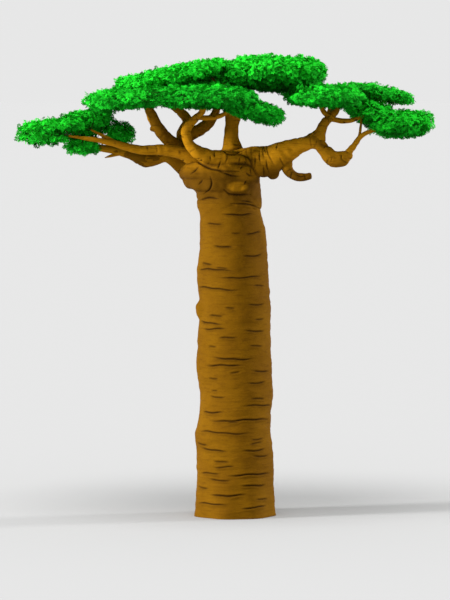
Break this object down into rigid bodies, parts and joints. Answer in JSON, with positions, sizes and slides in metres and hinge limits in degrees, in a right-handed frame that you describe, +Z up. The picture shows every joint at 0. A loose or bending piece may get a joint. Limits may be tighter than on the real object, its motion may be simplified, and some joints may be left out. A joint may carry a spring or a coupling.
{
  "type": "baobab tree",
  "caption": "Tall flat-topped baobab with a massive wrinkled column of a trunk, short heavy twisting boughs and layered level masses of foliage.",
  "frame": {"origin": "middle of the flat cut under the trunk, at ground level", "axes": "+Z up the trunk; X across the crown's widest spread; the front of the tree faces -Y"},
  "size_m": [22.5565, 18.3927, 24.9446],
  "materials": {
    "bark": "ochre-brown smooth bark with level wrinkles",
    "foliage": "bright mid-green leaves in dense sprays"
  },
  "bodies": {
    "root": {"bough_front_cross": "bark", "bough_front_lift": "bark", "bough_front_sweep": "bark", "bough_left_cross": "bark", "bough_left_fork": "bark", "bough_left_low": "bark", "bough_left_reach": "bark", "bough_left_rise": "bark", "bough_left_spike": "bark", "bough_left_tip": "bark", "bough_middle_rise": "bark", "bough_rear_left": "bark", "bough_rear_middle": "bark", "bough_rear_right": "bark", "bough_right_arm": "bark", "bough_right_crook": "bark", "bough_right_cross": "bark", "bough_right_dip": "bark", "bough_right_hook": "bark", "bough_right_return": "bark", "bough_right_rise": "bark", "bough_right_sprig": "bark", "mass_front_left": "foliage", "mass_front_right": "foliage", "mass_left_inner": "foliage", "mass_left_reach": "foliage", "mass_left_reach_low": "foliage", "mass_left_shoulder": "foliage", "mass_left_under": "foliage", "mass_low_left": "foliage", "mass_low_middle": "foliage", "mass_low_tongue": "foliage", "mass_rear_far_left": "foliage", "mass_rear_left": "foliage", "mass_rear_middle": "foliage", "mass_rear_right": "foliage", "mass_right_lobe": "foliage", "mass_right_shoulder": "foliage", "mass_right_tongue": "foliage", "mass_right_under": "foliage", "mass_top_left": "foliage", "mass_top_right": "foliage", "trunk": "bark"}
  },
  "joints": []
}
